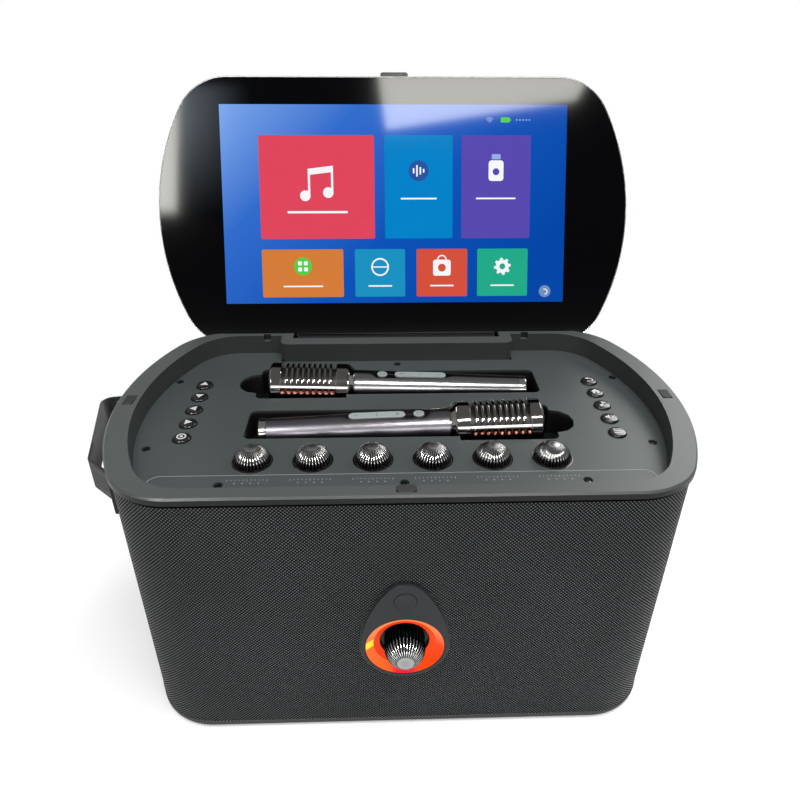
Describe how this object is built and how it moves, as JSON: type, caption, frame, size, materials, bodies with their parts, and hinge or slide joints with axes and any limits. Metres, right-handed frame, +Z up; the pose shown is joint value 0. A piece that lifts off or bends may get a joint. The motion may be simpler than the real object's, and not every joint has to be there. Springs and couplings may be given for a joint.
{
  "type": "karaoke machine",
  "caption": "Portable karaoke machine: oval-cornered speaker cabinet, hinged display lid, control tray with rotary knobs and push buttons, and lift-out microphones in pockets",
  "frame": {"origin": "centre of the foot ring's underside, on the surface the machine stands on; the middle of the cabinet's width and depth without the lid and strap", "axes": "+Z up, +X to the right as seen from the front, the front with the volume knob faces -Y; stored with the lid open and the microphones in their pockets"},
  "size_m": [0.5032, 0.403, 0.4818],
  "materials": {
    "body_plastic": "satin dark grey moulded plastic",
    "tray_plastic": "fine-textured dark grey moulded plastic",
    "rubber_black": "black rubber",
    "grille_metal": "black painted perforated steel",
    "inner_plastic": "unfinished black plastic",
    "board": "green circuit board with its components",
    "pin_steel": "turned steel",
    "plate_plastic": "satin grey plastic",
    "amber_light": "translucent amber plastic, lit from behind",
    "knob_silver": "silver plating on plastic, ribbed flank",
    "gloss_black": "glossy black plastic",
    "speaker": "pressed steel basket and magnet",
    "battery": "shrink-wrapped cells",
    "strap_web": "woven webbing, dark grey",
    "glass_black": "black-backed glass, clear over the display",
    "display": "lit colour display",
    "barrel_plastic": "semi-gloss dark plastic",
    "mic_body": "gunmetal paint",
    "mic_chrome": "polished plating",
    "mic_inner": "black capsule housing",
    "key_grey": "light grey plastic"
  },
  "bodies": {
    "cabinet": {"base_tray": "body_plastic", "foot_ring": "rubber_black", "grille_wrap": "grille_metal", "cabinet_shell": "inner_plastic", "top_frame": "body_plastic", "control_panel": "tray_plastic", "rim_pads": "rubber_black", "control_board": "board", "hinge_pins": "pin_steel", "front_plate": "plate_plastic", "light_ring": "amber_light", "front_encoder": "board", "woofers": "speaker", "tweeters": "speaker", "rear_panel": "inner_plastic", "rear_sockets": "gloss_black", "battery_pack": "battery", "main_board": "board", "strap_anchors": "body_plastic", "grab_strap": "strap_web"},
    "lid": {"lid_shell": "body_plastic", "glass_panel": "glass_black", "display_panel": "display", "lid_board": "board", "hinge_barrel": "barrel_plastic"},
    "knob_1": {"knob_1": "knob_silver"},
    "knob_2": {"knob_2": "knob_silver"},
    "knob_3": {"knob_3": "knob_silver"},
    "knob_4": {"knob_4": "knob_silver"},
    "knob_5": {"knob_5": "knob_silver"},
    "knob_6": {"knob_6": "knob_silver"},
    "volume_knob": {"volume_knob": "knob_silver"},
    "power_button": {"power_button": "gloss_black"},
    "button_up": {"button_up": "gloss_black"},
    "button_down": {"button_down": "gloss_black"},
    "button_left": {"button_left": "gloss_black"},
    "button_right": {"button_right": "gloss_black"},
    "button_select": {"button_select": "gloss_black"},
    "button_back": {"button_back": "gloss_black"},
    "button_home": {"button_home": "gloss_black"},
    "button_music": {"button_music": "gloss_black"},
    "button_mute": {"button_mute": "gloss_black"},
    "button_mode": {"button_mode": "gloss_black"},
    "rear_switch": {"rear_switch": "gloss_black"},
    "mic_back": {"mic_back_handle": "mic_body", "mic_back_cage": "mic_chrome", "mic_back_capsule": "mic_inner", "mic_back_cap": "mic_chrome"},
    "mic_back_power": {"mic_back_power": "key_grey"},
    "mic_back_rocker": {"mic_back_rocker": "key_grey"},
    "mic_front": {"mic_front_handle": "mic_body", "mic_front_cage": "mic_chrome", "mic_front_capsule": "mic_inner", "mic_front_cap": "mic_chrome"},
    "mic_front_power": {"mic_front_power": "key_grey"},
    "mic_front_rocker": {"mic_front_rocker": "key_grey"}
  },
  "joints": [
    {"name": "lid_hinge", "type": "hinge", "parent": "cabinet", "child": "lid", "pos_m": [0, 0.127, 0.244], "axis": [1, 0, 0], "range_deg": [-5, 113]},
    {"name": "knob_1_turn", "type": "hinge", "parent": "cabinet", "child": "knob_1", "pos_m": [-0.1175, -0.0645, 0.233], "axis": [0, 0, 1], "range_deg": [-150, 150]},
    {"name": "knob_2_turn", "type": "hinge", "parent": "cabinet", "child": "knob_2", "pos_m": [-0.0705, -0.0645, 0.233], "axis": [0, 0, 1], "range_deg": [-150, 150]},
    {"name": "knob_3_turn", "type": "hinge", "parent": "cabinet", "child": "knob_3", "pos_m": [-0.0235, -0.0645, 0.233], "axis": [0, 0, 1], "range_deg": [-150, 150]},
    {"name": "knob_4_turn", "type": "hinge", "parent": "cabinet", "child": "knob_4", "pos_m": [0.0235, -0.0645, 0.233], "axis": [0, 0, 1], "range_deg": [-150, 150]},
    {"name": "knob_5_turn", "type": "hinge", "parent": "cabinet", "child": "knob_5", "pos_m": [0.0705, -0.0645, 0.233], "axis": [0, 0, 1], "range_deg": [-150, 150]},
    {"name": "knob_6_turn", "type": "hinge", "parent": "cabinet", "child": "knob_6", "pos_m": [0.1175, -0.0645, 0.233], "axis": [0, 0, 1], "range_deg": [-150, 150]},
    {"name": "volume_turn", "type": "hinge", "parent": "cabinet", "child": "volume_knob", "pos_m": [0, -0.1348, 0.1], "axis": [0, -1, 0], "continuous": true},
    {"name": "power_press", "type": "slide", "parent": "cabinet", "child": "power_button", "axis": [0, 1, 0], "range_m": [0, 0.001], "stiffness_N_per_m": 600},
    {"name": "up_press", "type": "slide", "parent": "cabinet", "child": "button_up", "axis": [0, 0, -1], "range_m": [0, 0.0008], "stiffness_N_per_m": 600, "springref_m": -0.0002},
    {"name": "down_press", "type": "slide", "parent": "cabinet", "child": "button_down", "axis": [0, 0, -1], "range_m": [0, 0.0008], "stiffness_N_per_m": 600, "springref_m": -0.0002},
    {"name": "left_press", "type": "slide", "parent": "cabinet", "child": "button_left", "axis": [0, 0, -1], "range_m": [0, 0.0008], "stiffness_N_per_m": 600, "springref_m": -0.0002},
    {"name": "right_press", "type": "slide", "parent": "cabinet", "child": "button_right", "axis": [0, 0, -1], "range_m": [0, 0.0008], "stiffness_N_per_m": 600, "springref_m": -0.0002},
    {"name": "select_press", "type": "slide", "parent": "cabinet", "child": "button_select", "axis": [0, 0, -1], "range_m": [0, 0.0008], "stiffness_N_per_m": 600, "springref_m": -0.0002},
    {"name": "back_press", "type": "slide", "parent": "cabinet", "child": "button_back", "axis": [0, 0, -1], "range_m": [0, 0.0008], "stiffness_N_per_m": 600, "springref_m": -0.0002},
    {"name": "home_press", "type": "slide", "parent": "cabinet", "child": "button_home", "axis": [0, 0, -1], "range_m": [0, 0.0008], "stiffness_N_per_m": 600, "springref_m": -0.0002},
    {"name": "music_press", "type": "slide", "parent": "cabinet", "child": "button_music", "axis": [0, 0, -1], "range_m": [0, 0.0008], "stiffness_N_per_m": 600, "springref_m": -0.0002},
    {"name": "mute_press", "type": "slide", "parent": "cabinet", "child": "button_mute", "axis": [0, 0, -1], "range_m": [0, 0.0008], "stiffness_N_per_m": 600, "springref_m": -0.0002},
    {"name": "mode_press", "type": "slide", "parent": "cabinet", "child": "button_mode", "axis": [0, 0, -1], "range_m": [0, 0.0008], "stiffness_N_per_m": 600, "springref_m": -0.0002},
    {"name": "rear_switch_tilt", "type": "hinge", "parent": "cabinet", "child": "rear_switch", "pos_m": [-0.048, 0.1212, 0.07], "axis": [1, 0, 0], "range_deg": [0, 16]},
    {"name": "mic_back_lift", "type": "slide", "parent": "cabinet", "child": "mic_back", "axis": [0, 0, -1], "range_m": [-0.08, 0]},
    {"name": "mic_back_power_press", "type": "slide", "parent": "mic_back", "child": "mic_back_power", "axis": [-0.0309, 0, -0.9995], "range_m": [0, 0.0006], "stiffness_N_per_m": 500, "springref_m": -0.0002},
    {"name": "mic_back_rocker_press", "type": "slide", "parent": "mic_back", "child": "mic_back_rocker", "axis": [-0.0309, 0, -0.9995], "range_m": [0, 0.0006], "stiffness_N_per_m": 500, "springref_m": -0.0002},
    {"name": "mic_front_lift", "type": "slide", "parent": "cabinet", "child": "mic_front", "axis": [0, 0, -1], "range_m": [-0.08, 0]},
    {"name": "mic_front_power_press", "type": "slide", "parent": "mic_front", "child": "mic_front_power", "axis": [0.0309, 0, -0.9995], "range_m": [0, 0.0006], "stiffness_N_per_m": 500, "springref_m": -0.0002},
    {"name": "mic_front_rocker_press", "type": "slide", "parent": "mic_front", "child": "mic_front_rocker", "axis": [0.0309, 0, -0.9995], "range_m": [0, 0.0006], "stiffness_N_per_m": 500, "springref_m": -0.0002}
  ]
}
